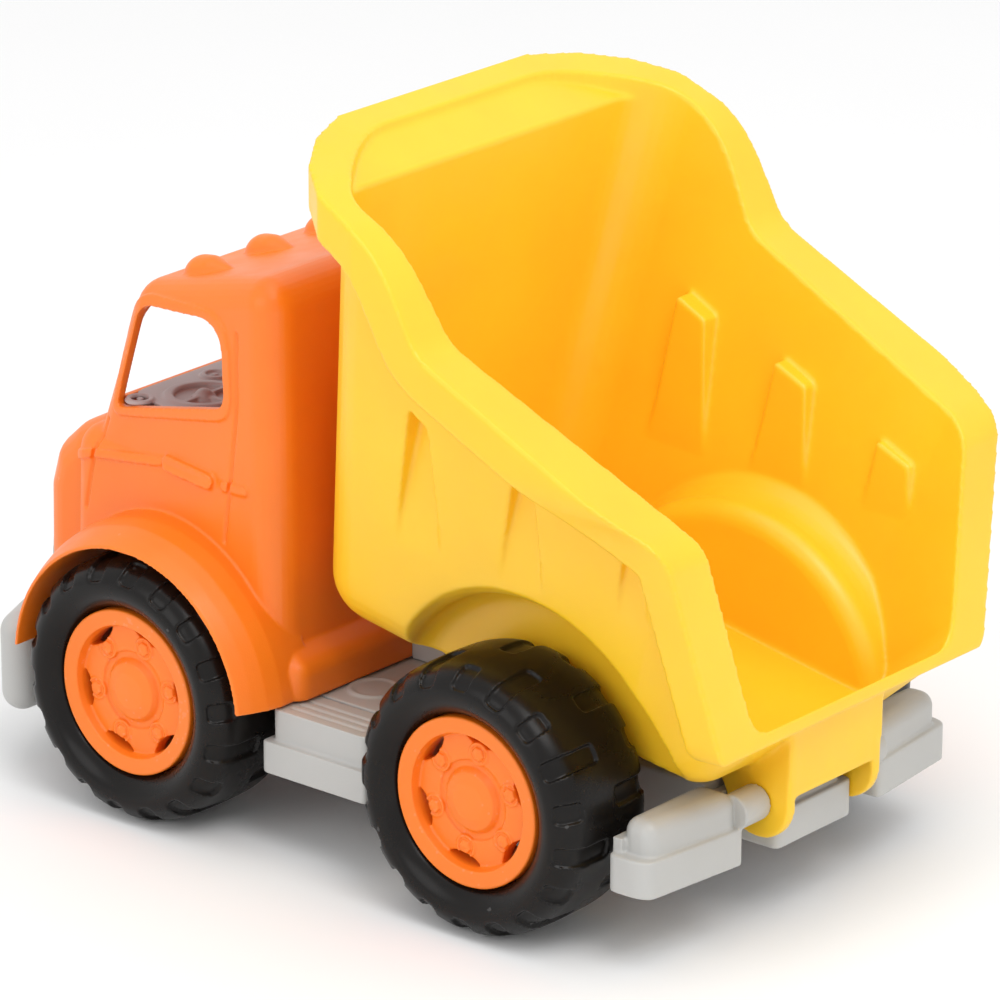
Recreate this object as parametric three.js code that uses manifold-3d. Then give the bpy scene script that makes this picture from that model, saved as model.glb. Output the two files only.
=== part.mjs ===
// Toy dump truck: moulded plastic cab, tipping bed, chassis and four wheels on steel axles.
// Millimetres. +X forward, +Y to the truck's left, +Z up. The origin is on the ground, under the
// middle of the truck's length. The pieces are drawn from the rear axle, and one group shifts them.
import * as THREE from "three";
import { mergeVertices } from "three/addons/utils/BufferGeometryUtils.js";
import { ConvexGeometry } from "three/addons/geometries/ConvexGeometry.js";
import Module from "manifold-3d";

// Driving dimensions
const REAR_AXLE_FROM_CENTRE = 73;
const WHEELBASE = 146.5;
const AXLE_HEIGHT = 45.7;
const GAP = 0.3;
const WALL = 2.6;

const TYRE_RADIUS = 45.7;
const TYRE_INNER_Y = 48.5;
const TYRE_OUTER_Y = 92;
const HUB_RADIUS = 28.5;
const HUB_FACE_Y = 88.4;
const AXLE_RADIUS = 2.4;
const AXLE_BORE_RADIUS = 2.75;
const AXLE_HALF_LENGTH = 80;
const POCKET_COUNT = 18;
const POCKET_FLOOR_RADIUS = 44.2;

const PIN = { x: -66.5, z: 44, radius: 3.5, bore: 3.8, halfLength: 34 };
const EAR = { inner: 20.2, outer: 24.2, radius: 12.5 };

const CHASSIS = { rear: -49.7, front: 214, half: 30, bottom: 29, top: 47 };
const BUMPER_BOTTOM = 26.7;
const BUMPER_LEDGE = 39.4;
const BUMPER_TOP = 52;
const STEP = { rear: 52, front: 96.7, inner: 56.3, outer: 77, top: 49.5 };
const CAB_BOTTOM = 50.4;
const CAB_REAR = 96;
const CAB_WALL = 2.5;
const ARCH_RADIUS = 49.3;
const FENDER_RADIUS = 56;
const DECK_Z = 134;

const FINE_BALL = Math.PI / 6;
const COARSE_BALL = Math.PI / 4;

const wasm = await Module();
wasm.setup();

// ---- Solids from three.js geometries -------------------------------------------------------

function solid(geometry) {
  const bare = new THREE.BufferGeometry();
  bare.setAttribute("position", geometry.getAttribute("position"));
  bare.setIndex(geometry.getIndex());
  const merged = mergeVertices(bare, 1e-3);
  return new wasm.Manifold(
    new wasm.Mesh({
      numProp: 3,
      vertProperties: new Float32Array(merged.getAttribute("position").array),
      triVerts: new Uint32Array(merged.getIndex().array),
    }),
  );
}

function union(bodies) {
  return bodies.reduce((sum, body) => sum.add(body));
}

// Cuts that graze a surface can leave a loose shaving, so only the largest piece is kept.
function largest(body) {
  return body.decompose().reduce((best, piece) => (piece.volume() > best.volume() ? piece : best));
}

// A closed outline with its corners rounded. Each corner is [a, b] or [a, b, its own radius].
function outline(corners, radius = 0) {
  const shape = new THREE.Shape();
  corners.forEach((corner, i) => {
    const here = new THREE.Vector2(corner[0], corner[1]);
    const before = new THREE.Vector2(...corners.at(i - 1).slice(0, 2)).sub(here);
    const after = new THREE.Vector2(...corners[(i + 1) % corners.length].slice(0, 2)).sub(here);
    const r = Math.min(corner[2] ?? radius, before.length() / 2.01, after.length() / 2.01);
    const start = before.setLength(r).add(here);
    const end = after.setLength(r).add(here);
    if (i === 0) shape.moveTo(start.x, start.y);
    else shape.lineTo(start.x, start.y);
    if (r > 0) shape.quadraticCurveTo(here.x, here.y, end.x, end.y);
  });
  shape.closePath();
  return shape;
}

function extrude(shape, depth, steps = 3) {
  return new THREE.ExtrudeGeometry(shape, { depth, bevelEnabled: false, curveSegments: steps });
}

// An outline in X and Z, extruded along Y.
function sideways(corners, yFrom, yTo, radius = 0) {
  const geometry = extrude(outline(corners, radius), yTo - yFrom);
  return solid(geometry.rotateX(Math.PI / 2).translate(0, yTo, 0));
}

// An outline in Y and Z, extruded along X.
function lengthways(corners, xFrom, xTo, radius = 0) {
  const geometry = extrude(outline(corners, radius), xTo - xFrom);
  const turn = new THREE.Matrix4().makeBasis(
    new THREE.Vector3(0, 1, 0),
    new THREE.Vector3(0, 0, 1),
    new THREE.Vector3(1, 0, 0),
  );
  return solid(geometry.applyMatrix4(turn).translate(xFrom, 0, 0));
}

// An outline in X and Y, extruded upwards.
function upwards(corners, zFrom, zTo, radius = 0) {
  return solid(extrude(outline(corners, radius), zTo - zFrom).translate(0, 0, zFrom));
}

function box(xFrom, xTo, yFrom, yTo, zFrom, zTo) {
  const geometry = new THREE.BoxGeometry(xTo - xFrom, yTo - yFrom, zTo - zFrom);
  geometry.translate((xFrom + xTo) / 2, (yFrom + yTo) / 2, (zFrom + zTo) / 2);
  return solid(geometry);
}

// A round bar along Y.
function barY(x, z, radius, yFrom, yTo, segments = 24) {
  const geometry = new THREE.CylinderGeometry(radius, radius, yTo - yFrom, segments);
  return solid(geometry.translate(x, (yFrom + yTo) / 2, z));
}

// A round bar along Z.
function barZ(x, y, radius, zFrom, zTo, segments = 12) {
  const geometry = new THREE.CylinderGeometry(radius, radius, zTo - zFrom, segments);
  return solid(geometry.rotateX(Math.PI / 2).translate(x, y, (zFrom + zTo) / 2));
}

// A profile of [radius, y] points turned about the Y axis through x, z.
function turned(profile, x, z, segments) {
  const points = profile.map(([r, y]) => new THREE.Vector2(r, y));
  return solid(new THREE.LatheGeometry(points, segments).translate(x, 0, z));
}

// The convex skin stretched over balls given as [x, y, z, radius].
function skin(balls, step = COARSE_BALL) {
  const points = [];
  for (const [x, y, z, r] of balls) {
    for (let rise = -Math.PI / 2; rise < Math.PI / 2 + 0.01; rise += step) {
      for (let turn = 0; turn < 2 * Math.PI - 0.01; turn += step) {
        points.push(
          new THREE.Vector3(
            x + r * Math.cos(rise) * Math.cos(turn),
            y + r * Math.cos(rise) * Math.sin(turn),
            z + r * Math.sin(rise),
          ),
        );
      }
    }
  }
  return solid(new ConvexGeometry(points));
}

// The same, over balls on both sides of the middle plane, each grown by some amount.
function pairSkin(balls, grow = 0, step = COARSE_BALL) {
  const grown = balls.map(([x, y, z, r]) => [x, y, z, r + grow]);
  const mirrored = grown.map(([x, y, z, r]) => [x, -y, z, r]);
  return skin([...grown, ...mirrored], step);
}

// Mirroring turns every face inside out, so its corners are taken the other way round.
function mirrorY(body) {
  const { vertProperties, triVerts } = body.getMesh();
  return new wasm.Manifold(
    new wasm.Mesh({
      numProp: 3,
      vertProperties: vertProperties.map((value, i) => (i % 3 === 1 ? -value : value)),
      triVerts: triVerts.slice().reverse(),
    }),
  );
}

function bothSides(body) {
  return body.add(mirrorY(body));
}

// ---- Dump bed ------------------------------------------------------------------------------

// Balls that touch the inside of the tub: flared sides, a headboard that leans back,
// a floor that falls to the rear and then kicks up to the lip. [x, y, z, radius]
const TUB = [
  [69, 44.6, 96, 16],
  [-40, 44.3, 74, 14],
  [-57, 41.5, 69, 12],
  [-112, 45.2, 112.4, 8],
  [39, 67.5, 262, 18],
  [-112, 77.5, 262, 8],
];

// The top edge of the tub seen from the side, from the rear lip to the front of the canopy.
const RIM = [
  [-87, 74],
  [-78.5, 143, 5],
  [-72.5, 148.8, 5],
  [12, 189.5, 5],
  [17, 193.5, 4],
  [23, 205, 4],
  [28, 214, 4],
  [34, 221.5, 4],
  [42, 227.6, 4],
  [60, 236.2, 6],
  [78, 242.4, 4],
  [88, 245.4],
];
const SKIRT = 14;

// The rim's outer edge seen from behind, and the canopy's from above.
const RIM_FROM_BEHIND = [
  [68, 71.5, 8],
  [86.5, 147, 8],
  [92.8, 157, 8],
  [93, 190],
  [93, 280],
];
const CANOPY_OUTER = [
  [-120, 110],
  [40, 110],
  [42, 93],
  [58, 90.5],
  [71, 80],
  [82, 64],
  [88, 47],
];
const CANOPY_INNER = [
  [20, 79.2],
  [50, 79.2],
  [60, 72.5],
  [71, 57],
  [77.5, 42],
];
const HEADBOARD_TOP = { x: 58.5, z: 228.5 };
const CANOPY_SLOPE = 0.58;

// Three pads on each side stand upright where the wall flares away: [rear x, front x at the
// top, front x at the foot, foot z, rear top z, front top z]
const PADS = [
  [26, 38, 52, 106, 162, 168],
  [-16, -3, 8, 108, 148, 154],
  [-58.5, -45, -37, 98, 130, 136],
];
const PAD_Y = 63.8;

function bothHands(half) {
  const other = half.map(([a, b, r]) => [-a, b, r]).reverse();
  return [...half, ...other];
}

function planBothHands(half) {
  const other = half.map(([a, b]) => [a, -b]).reverse();
  return [...half, ...other];
}

// The rim's side outline moved down and forwards, square to itself.
function rimBelow(distance) {
  return RIM.map(([x, z, r], i) => {
    const before = RIM[Math.max(i - 1, 0)];
    const after = RIM[Math.min(i + 1, RIM.length - 1)];
    const inward = new THREE.Vector2(x - before[0], z - before[1]).normalize();
    const outward = new THREE.Vector2(after[0] - x, after[1] - z).normalize();
    const along = inward.clone().add(outward).normalize();
    const reach = distance / Math.max(along.dot(outward.length() ? outward : inward), 0.5);
    return [x + along.y * reach, z - along.x * reach, r];
  });
}

function rimBand(from, to) {
  return [...rimBelow(from), ...rimBelow(to).reverse()];
}

function padOutline([rear, frontTop, frontFoot, foot, rearTop, frontTopZ], inset) {
  return [
    [rear + inset, foot + inset],
    [rear + inset, rearTop - inset],
    [frontTop - inset, frontTopZ - inset],
    [frontFoot - inset, foot + inset],
  ];
}

function aboveLine(slope, dropBelow) {
  const { x, z } = HEADBOARD_TOP;
  const base = z - dropBelow;
  return [
    [x - 60, base + 0.01],
    [x, base],
    [x + 60, base + 60 * slope],
    [x + 60, 330],
    [x - 60, 330],
  ];
}

function rimFlange(tub) {
  const edge = (grow) => {
    const half = RIM_FROM_BEHIND.map(([y, z, r]) => [y - grow, z + (z < 80 ? grow : 0), r]);
    return lengthways(bothHands(half), -130, 130);
  };
  const plan = (grow) => {
    const half = CANOPY_OUTER.map(([x, y]) => [x - grow, y - grow]);
    return upwards(planBothHands(half), 40, 320);
  };
  const full = sideways(rimBand(0, SKIRT), -110, 110).intersect(edge(0)).intersect(plan(0));
  const hollow = sideways(rimBand(WALL, 45), -110, 110).intersect(edge(WALL)).intersect(plan(WALL));
  return full.subtract(hollow.subtract(tub));
}

function canopy() {
  const body = sideways(
    [
      [56, 221],
      [62, 224],
      [76, 232.5],
      [88.5, 233.5],
      [88.5, 250],
      [56, 250],
    ],
    -110,
    110,
  );
  const underRim = sideways([...RIM, [140, 262], [140, 100], [-80, 60]], -110, 110);
  return body.intersect(underRim).intersect(upwards(planBothHands(CANOPY_OUTER), 40, 320));
}

function canopyRecess() {
  const open = sideways(aboveLine(CANOPY_SLOPE, 0), -110, 110);
  return open.intersect(upwards(planBothHands(CANOPY_INNER), 200, 320));
}

function wheelHump(radius, yInner, yOuter) {
  const profile = [
    [0, yInner],
    [radius - 7, yInner],
    [radius - 2, yInner + 2],
    [radius, yInner + 7],
    [radius, yOuter],
    [0, yOuter],
  ];
  return turned(profile, 0, AXLE_HEIGHT, 32);
}

function hingeBracket() {
  const eye = barY(PIN.x, PIN.z, EAR.radius, EAR.inner, EAR.outer, 20);
  const plate = sideways(
    [
      [PIN.x - 14, 76],
      [PIN.x - EAR.radius, PIN.z],
      [PIN.x + EAR.radius, PIN.z],
      [PIN.x + 22, 62],
      [PIN.x + 22, 66],
    ],
    EAR.inner,
    EAR.outer,
  );
  const web = sideways(
    [
      [PIN.x - 14, 76],
      [PIN.x - EAR.radius, PIN.z + 3],
      [PIN.x - EAR.radius + WALL, PIN.z + 3],
      [PIN.x - 10, 76],
    ],
    -EAR.inner - 1,
    EAR.inner + 1,
  );
  return bothSides(eye.add(plate)).add(web);
}

function dumpBed() {
  const inner = pairSkin(TUB, 0, FINE_BALL);
  const outer = pairSkin(TUB, WALL, FINE_BALL);
  const overRim = sideways(
    [...RIM, [140, 262], [140, 330], [-170, 330], [-170, 30], [-92, 30]],
    -130,
    130,
  );
  const humps = bothSides(wheelHump(62.6, 44.2, 85));
  const arches = bothSides(wheelHump(60, 46.8, 110));
  const pads = PADS.map((pad) => bothSides(sideways(padOutline(pad, 0), PAD_Y, 110)));
  const dents = PADS.map((pad) => bothSides(sideways(padOutline(pad, WALL), PAD_Y + WALL, 110)));
  const hollow = inner.subtract(union([humps, ...pads]));
  const tub = outer.subtract(union(dents));
  const body = union([tub, rimFlange(outer), canopy(), hingeBracket()])
    .subtract(union([hollow, canopyRecess(), overRim]))
    .subtract(arches);
  return largest(body.subtract(barY(PIN.x, PIN.z, PIN.bore, -60, 60, 20)));
}

// ---- Cab -----------------------------------------------------------------------------------

const GREENHOUSE = [
  [106, 59, 181, 10],
  [159, 50, 166.5, 11],
  [179, 50, 118, 9],
  [106, 59, 112, 10],
];
const BODY = [
  [106, 59, 62, 10],
  [106, 59, 116, 10],
  [188, 53, 66, 9],
  [188, 51, 112, 9],
];
const NOSE = [
  [206.5, 42, 70, 12],
  [206, 42, 92, 12],
  [203.5, 42, 100.5, 12],
  [197.5, 42, 106, 12],
  [188, 42, 111, 12],
  [178, 42, 114, 12],
  [178, 42, 70, 12],
];
const NOSE_BOTTOM = 58.3;

// The side window seen from the left, and the windscreen from the front.
const SIDE_WINDOW = [
  [175, 131.5, 3.5],
  [163, 170, 7],
  [120.5, 174.5, 13],
  [119.8, 145, 5],
];
const WINDSCREEN = [
  [-54, 131, 8],
  [54, 131, 8],
  [52, 167, 10],
  [-52, 167, 10],
];
const ROOF_LIGHTS_Y = [-44.2, -14.7, 14.7, 44.2];

function fender() {
  const profile = [
    [0, 58],
    [FENDER_RADIUS, 58],
    [FENDER_RADIUS, 73],
    [FENDER_RADIUS - 3.2, 82.6],
    [FENDER_RADIUS - 5.6, 89],
    [0, 89],
  ];
  return bothSides(turned(profile, WHEELBASE, AXLE_HEIGHT, 36));
}

function lowered(balls, depth) {
  const sunk = balls.filter(([, , z]) => z < 100).map(([x, y, z, r]) => [x, y, z - depth, r]);
  return [...balls, ...sunk];
}

function apron(inset) {
  const balls = [
    [95, 62, 44, 7 - inset],
    [95, 62, 58, 7 - inset],
    [108, 71, 44, 7 - inset],
    [108, 70, 60, 7 - inset],
    [110, 60, 68, 7 - inset],
  ];
  return pairSkin(balls);
}

// A marker lamp: a round nose that runs out to a point behind.
function roofLight(y) {
  return skin([
    [148.5, y, 178.4, 7.3],
    [146, y, 179, 7],
    [136, y, 182.3, 1.2],
  ]);
}

function cabShell() {
  const overNose = box(60, 260, -120, 120, NOSE_BOTTOM, 240);
  const outside = union([
    pairSkin(GREENHOUSE, 0, FINE_BALL),
    pairSkin(lowered(BODY, 40)),
    pairSkin(lowered(NOSE, 40)).intersect(overNose),
    fender(),
    apron(0),
    ...ROOF_LIGHTS_Y.map(roofLight),
  ]);
  const liner = barY(WHEELBASE, AXLE_HEIGHT, ARCH_RADIUS + CAB_WALL, -110, 110, 36);
  const inside = union([
    pairSkin(GREENHOUSE, -CAB_WALL),
    pairSkin(lowered(BODY, 60), -CAB_WALL),
    pairSkin(lowered(NOSE, 60), -CAB_WALL),
    apron(CAB_WALL),
  ]).subtract(liner);
  const below = box(0, 280, -120, 120, -60, CAB_BOTTOM);
  const wheels = barY(WHEELBASE, AXLE_HEIGHT, ARCH_RADIUS, -110, 110, 36);
  const shell = outside.subtract(inside).subtract(below).subtract(wheels);
  return largest(
    shell.subtract(sideways(SIDE_WINDOW, -110, 110)).subtract(lengthways(WINDSCREEN, 148, 215)),
  );
}

function grille() {
  const nose = lowered(NOSE, 40);
  const plate = pairSkin(nose, GAP + 2.2).subtract(pairSkin(nose, GAP));
  const face = lengthways(
    [
      [-46, 60.5, 4],
      [46, 60.5, 4],
      [44, 78, 6],
      [-44, 78, 6],
    ],
    212,
    260,
  );
  const slots = [65, 69.5, 74].map((z) => box(212, 260, -33, 33, z - 1.3, z + 1.3));
  return plate.intersect(face).subtract(union(slots));
}

function dashboard() {
  const plate = upwards(
    [
      [101, -63],
      [150, -58],
      [176, -50],
      [176, 50],
      [150, 58],
      [101, 63],
    ],
    DECK_Z - 3,
    DECK_Z,
    3,
  );
  const apronFront = box(100.6, 103.2, -55, 55, DECK_Z - 12, DECK_Z - 1);
  const ring = new THREE.TorusGeometry(11, 1.4, 6, 24).translate(156, 38, DECK_Z);
  const boss = barZ(156, 38, 4, DECK_Z - 1, DECK_Z + 1.6, 16);
  const spokes = box(145.5, 166.5, 36.6, 39.4, DECK_Z - 1, DECK_Z + 0.9);
  const dials = [-2, -22].map((y) => barZ(160, y, 6, DECK_Z - 1, DECK_Z + 1, 20));
  return union([plate, apronFront, solid(ring), boss, spokes, ...dials]);
}

// ---- Chassis -------------------------------------------------------------------------------

const PAN_SCREWS = [
  [28, 20],
  [28, -20],
  [112, 20],
  [112, -20],
];
const REST_POSTS = [
  [-17, 60.8],
  [38, 70.6],
];

function chassisFrame() {
  const { rear, front, half, bottom, top } = CHASSIS;
  const channel = box(rear, front, -half, half, bottom, top).subtract(
    box(rear + WALL, front - WALL, -half + WALL, half - WALL, bottom - 1, top - WALL),
  );
  const sleeves = [0, WHEELBASE].map((x) => barY(x, AXLE_HEIGHT, 6.2, -47.6, 47.6, 24));
  const outriggers = bothSides(box(56, 93, half - 1, STEP.inner - GAP, 34, top));
  const bosses = PAN_SCREWS.map(([x, y]) => barZ(x, y, 4, 33, top - 1, 16));
  const posts = REST_POSTS.map(([x, z]) => bothSides(box(x - 3, x + 3, 12, 22, top - 1, z)));
  const bores = [0, WHEELBASE].map((x) => barY(x, AXLE_HEIGHT, AXLE_BORE_RADIUS, -60, 60, 24));
  const holes = PAN_SCREWS.map(([x, y]) => barZ(x, y, 1.7, 20, 43, 12));
  return union([channel, ...sleeves, outriggers, ...bosses, ...posts]).subtract(
    union([...bores, ...holes]),
  );
}

function bellyPan() {
  const { half } = CHASSIS;
  const inner = half - WALL - GAP;
  const plate = box(8, 138, -inner, inner, 29.6, 32.6);
  const ribs = [50, 70, 90].map((x) => box(x - 1, x + 1, -inner, inner, 28.4, 30));
  const holes = PAN_SCREWS.map(([x, y]) => barZ(x, y, 1.7, 20, 40, 12));
  return union([plate, ...ribs]).subtract(union(holes));
}

function screw() {
  const profile = [
    [0, 0],
    [2.6, 0],
    [3, 0.6],
    [3, 1.6],
    [1.4, 1.6],
    [1.4, 12],
    [0, 13],
  ];
  const points = profile.map(([r, h]) => new THREE.Vector2(r, h));
  const body = solid(new THREE.LatheGeometry(points, 12).rotateX(Math.PI / 2));
  const slots = box(-2, 2, -0.4, 0.4, -1, 0.7).add(box(-0.4, 0.4, -2, 2, -1, 0.7));
  return body.subtract(slots);
}

function frontBumper() {
  const balls = [];
  for (const z of [26, 47]) {
    balls.push([210.6, 71.7, z, 7], [220, 50, z, 7], [226, 20, z, 7], [214, 20, z, 7]);
  }
  const { front, half, bottom, top } = CHASSIS;
  const pocket = box(190, front + GAP, -half - GAP, half + GAP, bottom - GAP, top + GAP);
  return pairSkin(balls).subtract(pocket);
}

function twoTier(plan, upperBalls) {
  return upwards(plan, BUMPER_BOTTOM, BUMPER_LEDGE, 3).add(skin(upperBalls));
}

function rearBumper() {
  const leftPlan = [
    [-50, 35],
    [-70.4, 35],
    [-66, 77],
    [-61, 79],
    [-50, 79],
  ];
  const leftUpper = [];
  for (const z of [36, 46]) {
    leftUpper.push([-57, 40.4, z, 5], [-63.4, 40.4, z, 5], [-59.6, 70, z, 5], [-57, 70, z, 5]);
  }
  const side = twoTier(leftPlan, leftUpper);
  const middlePlan = [
    [-52, -19.8],
    [-52, 19.8],
    [-71.3, 19.8],
    [-71.3, -19.8],
  ];
  const middleUpper = [];
  for (const y of [-13, 13]) {
    middleUpper.push([-57, y, 36, 4], [-57, y, 46, 4], [-65, y, 36, 4], [-65, y, 46, 4]);
  }
  const back = box(PIN.x + EAR.radius + GAP, -50, -76, 76, BUMPER_BOTTOM + 1, PIN.z);
  const collar = barY(PIN.x, PIN.z, 6, EAR.outer + GAP, 37, 20);
  const sides = bothSides(union([side, collar]));
  const middle = twoTier(middlePlan, middleUpper);
  return union([sides, middle, back]).subtract(barY(PIN.x, PIN.z, PIN.bore, -35, 35, 20));
}

function sideStep() {
  const { rear, front, inner, outer, top } = STEP;
  const lower = box(rear, front, inner, outer, 27.5, 38.6);
  const upper = box(rear + 1.5, front - 2.5, inner, outer - 2.5, 38, top);
  const hollow = box(rear + 3, front - 5, inner + 3, outer - 5, 20, top - 3);
  const grooves = [62, 66, 70].map((y) => box(rear + 6, front - 7, y - 0.7, y + 0.7, top - 0.8, 60));
  return lower.add(upper).subtract(hollow).subtract(union(grooves));
}

function deckCover() {
  const plate = box(56, 94.5, -STEP.inner + 1, STEP.inner - 1, CHASSIS.top + GAP, 49.6);
  const discs = [-40, 40].map((y) => barZ(80, y, 9, 49, 50.2, 24));
  return plate.add(union(discs));
}

function ventBlock() {
  const block = box(74, 88, -12, 12, 49.9, 61);
  const slots = [-8, -4, 0, 4, 8].map((y) => box(70, 84, y - 0.9, y + 0.9, 53, 65));
  return block.subtract(union(slots));
}

// ---- Wheels --------------------------------------------------------------------------------

function tyre() {
  const profile = [
    [HUB_RADIUS + GAP, 54],
    [HUB_RADIUS + 4, 49.5],
    [38, TYRE_INNER_Y],
    [43, 51.8],
    [45, 56.5],
    [TYRE_RADIUS, 64],
    [TYRE_RADIUS, 77],
    [45, 84.5],
    [43, 88.8],
    [39, 91.6],
    [36, TYRE_OUTER_Y],
    [32.5, 90.5],
    [HUB_RADIUS + GAP, 85.5],
    [HUB_RADIUS + GAP, 54],
  ];
  let body = turned(profile, 0, 0, 36);
  for (let i = 0; i < POCKET_COUNT; i += 1) {
    const length = i % 2 ? 20 : 8.5;
    const pocket = new THREE.BoxGeometry(6.6, length + 4, 6);
    pocket.translate(0, TYRE_OUTER_Y + 2 - length / 2, POCKET_FLOOR_RADIUS + 3);
    body = body.subtract(solid(pocket.rotateY((i * 2 * Math.PI) / POCKET_COUNT)));
  }
  return body;
}

function hub() {
  const face = HUB_FACE_Y;
  const profile = [
    [AXLE_RADIUS + 0.05, 52],
    [7, 52],
    [7, face - 9],
    [HUB_RADIUS - 3, face - 9],
    [HUB_RADIUS - 3, 58],
    [HUB_RADIUS, 58],
    [HUB_RADIUS, face],
    [22.8, face - 0.6],
    [21.8, face - 5],
    [12.5, face - 4.6],
    [11, face - 2],
    [0, face - 1.4],
    [0, AXLE_HALF_LENGTH + 0.2],
    [AXLE_RADIUS + 0.05, AXLE_HALF_LENGTH + 0.2],
    [AXLE_RADIUS + 0.05, 52],
  ];
  let body = turned(profile, 0, 0, 24);
  for (let i = 0; i < 6; i += 1) {
    const turn = (i * Math.PI) / 3;
    const boss = new THREE.CylinderGeometry(2.6, 3, 3, 6).translate(17.6, face - 3.6, 0);
    const slot = new THREE.BoxGeometry(3, 12, 8).translate(19.6, face - 6, 0);
    body = body.add(solid(boss.rotateY(turn)));
    body = body.subtract(solid(slot.rotateY(turn + Math.PI / 6)));
  }
  return body;
}

function axle() {
  return barY(0, 0, AXLE_RADIUS, -AXLE_HALF_LENGTH, AXLE_HALF_LENGTH, 24);
}

// ---- Assembly ------------------------------------------------------------------------------

const paint = (color, roughness, metalness = 0) => ({ color, roughness, metalness });
const ORANGE = paint(0xf57f2a, 0.42);
const YELLOW = paint(0xffd23c, 0.42);
const GREY = paint(0xb9b9b5, 0.5);
const DARK_GREY = paint(0x8f8a8a, 0.5);
const BLACK = paint(0x1b1918, 0.45);
const STEEL = paint(0x9a9a9c, 0.35, 1);

const truck = new THREE.Group();
truck.position.x = -REAR_AXLE_FROM_CENTRE;

function place(name, body, look, parent = truck) {
  const { vertProperties, triVerts } = body.getMesh();
  const geometry = new THREE.BufferGeometry();
  geometry.setAttribute("position", new THREE.BufferAttribute(vertProperties, 3));
  geometry.setIndex(new THREE.BufferAttribute(triVerts, 1));
  const mesh = new THREE.Mesh(geometry, new THREE.MeshStandardMaterial({ ...look, flatShading: true }));
  mesh.name = name;
  parent.add(mesh);
  return mesh;
}

// The wheels of a set stand at the same angle, the tyre and the hub each turned by its own.
function wheelSet(end, x, tyreTurn, hubTurn) {
  const set = new THREE.Group();
  set.position.set(x, 0, AXLE_HEIGHT);
  truck.add(set);
  place(`${end}_axle`, axle(), STEEL, set);
  for (const [side, turn] of [["left", 0], ["right", Math.PI]]) {
    const wheel = new THREE.Group();
    wheel.rotation.z = turn;
    set.add(wheel);
    place(`${end}_${side}_tyre`, tyre(), BLACK, wheel).rotation.y = -tyreTurn;
    place(`${end}_${side}_hub`, hub(), ORANGE, wheel).rotation.y = -hubTurn;
  }
}

place("dump_bed", dumpBed(), YELLOW);
place("hinge_pin", barY(PIN.x, PIN.z, PIN.radius, -PIN.halfLength, PIN.halfLength, 20), STEEL);
place("cab_shell", cabShell(), ORANGE);
place("dashboard", dashboard(), DARK_GREY);
place("grille", grille(), GREY);
place("chassis_frame", chassisFrame(), GREY);
place("belly_pan", bellyPan(), DARK_GREY);
place("front_bumper", frontBumper(), GREY);
place("rear_bumper", rearBumper(), GREY);
place("side_step_left", sideStep(), GREY);
place("side_step_right", mirrorY(sideStep()), GREY);
place("deck_cover", deckCover(), GREY);
place("vent_block", ventBlock(), GREY);
PAN_SCREWS.forEach(([x, y], i) => {
  place(`pan_screw_${i + 1}`, screw(), STEEL).position.set(x, y, 27.7);
});
wheelSet("rear", 0, 0, 0);
wheelSet("front", WHEELBASE, 0, 0);

export default truck;
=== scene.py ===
"""A moulded plastic toy dump truck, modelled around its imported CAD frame.

Solids are made in millimetres, measured from the rear axle: +X forward, +Y to the truck's left,
+Z up from the ground. dress() turns each one into a finished piece in metres, in the CAD frame.
"""

import math

import bmesh
import bpy
from mathutils import Matrix, Vector

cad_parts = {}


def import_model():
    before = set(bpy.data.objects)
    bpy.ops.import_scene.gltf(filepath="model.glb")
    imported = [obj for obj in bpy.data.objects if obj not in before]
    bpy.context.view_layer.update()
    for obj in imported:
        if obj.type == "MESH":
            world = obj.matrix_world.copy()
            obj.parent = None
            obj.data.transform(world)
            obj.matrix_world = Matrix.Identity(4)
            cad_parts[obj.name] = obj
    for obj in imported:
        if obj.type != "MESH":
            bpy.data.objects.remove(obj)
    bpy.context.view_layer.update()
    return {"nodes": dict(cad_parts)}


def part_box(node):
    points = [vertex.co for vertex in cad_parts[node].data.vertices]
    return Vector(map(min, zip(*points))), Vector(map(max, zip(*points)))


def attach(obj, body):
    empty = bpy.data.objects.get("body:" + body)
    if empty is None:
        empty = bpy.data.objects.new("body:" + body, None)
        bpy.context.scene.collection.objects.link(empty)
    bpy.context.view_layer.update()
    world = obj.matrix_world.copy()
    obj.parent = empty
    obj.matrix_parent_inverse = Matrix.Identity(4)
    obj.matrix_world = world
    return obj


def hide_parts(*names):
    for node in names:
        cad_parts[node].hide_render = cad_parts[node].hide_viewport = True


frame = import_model()
rear_low, rear_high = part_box("rear_axle")
REAR_AXLE_X = 500 * (rear_low.x + rear_high.x)

# Driving dimensions, in millimetres
WHEELBASE = 146.5
AXLE_HEIGHT = 45.7
WALL = 2.6
PIN = {"x": -66.5, "z": 44.0, "bore": 3.8}
EAR = {"inner": 20.2, "outer": 24.2, "radius": 12.5}
STEP = {"rear": 52, "front": 96.7, "inner": 56.3, "outer": 77, "top": 49.5}
CAB_BOTTOM = 50.4
CAB_WALL = 2.5
ARCH_RADIUS = 49.3
FENDER_RADIUS = 56
DECK_Z = 134
HUB_RADIUS = 28.5
HUB_FACE_Y = 88.4
BEYOND = 110  # past the truck's sides, for cuts that go right across

# ---- Solids --------------------------------------------------------------------------------


def to_object(bm):
    """A mesh object from bm, in the scene so that modifiers can see it."""
    mesh = bpy.data.meshes.new("solid")
    bmesh.ops.recalc_face_normals(bm, faces=bm.faces)
    bm.to_mesh(mesh)
    bm.free()
    body = bpy.data.objects.new("solid", mesh)
    bpy.context.scene.collection.objects.link(body)
    return body


def discard(body):
    mesh = body.data
    bpy.data.objects.remove(body)
    if mesh.users == 0:
        bpy.data.meshes.remove(mesh)


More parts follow.
